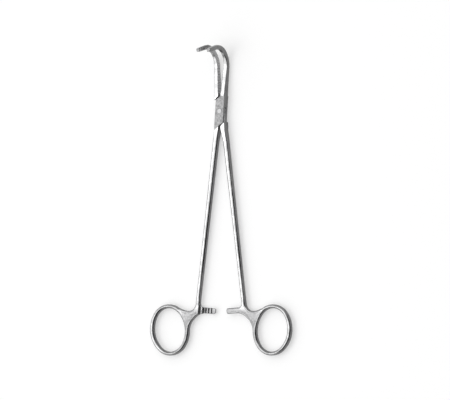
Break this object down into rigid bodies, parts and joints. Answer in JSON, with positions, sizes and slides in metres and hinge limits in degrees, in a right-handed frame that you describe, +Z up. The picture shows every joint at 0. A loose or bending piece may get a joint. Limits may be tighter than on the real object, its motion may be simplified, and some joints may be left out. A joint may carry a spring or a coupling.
{
  "type": "hysterectomy forceps",
  "caption": "Long box-lock clamping forceps with right-angle hooked, cross-serrated jaws, slim shanks, finger rings and a ratchet.",
  "frame": {"origin": "On the pivot axis, in the bottom face of the box lock, which is the table plane when the forceps lies flat.", "axes": "+Y runs from the pivot to the jaws, the finger rings lie towards -Y. +Z is up, along the pivot axis, the way the jaws hook. +X is the side of the tongue half's finger ring."},
  "size_m": [0.126, 0.2402, 0.0317],
  "materials": {
    "forging_steel": "polished stainless steel with fine grinding lines",
    "pin_steel": "ground flush, satin stainless steel"
  },
  "bodies": {
    "box_half": {"box_half": "forging_steel", "pivot_pin": "pin_steel"},
    "tongue_half": {"tongue_half": "forging_steel"}
  },
  "joints": [
    {"name": "lock_hinge", "type": "hinge", "parent": "box_half", "child": "tongue_half", "pos_m": [0, 0, 0], "axis": [0, 0, 1], "range_deg": [-8.5, 73]}
  ]
}
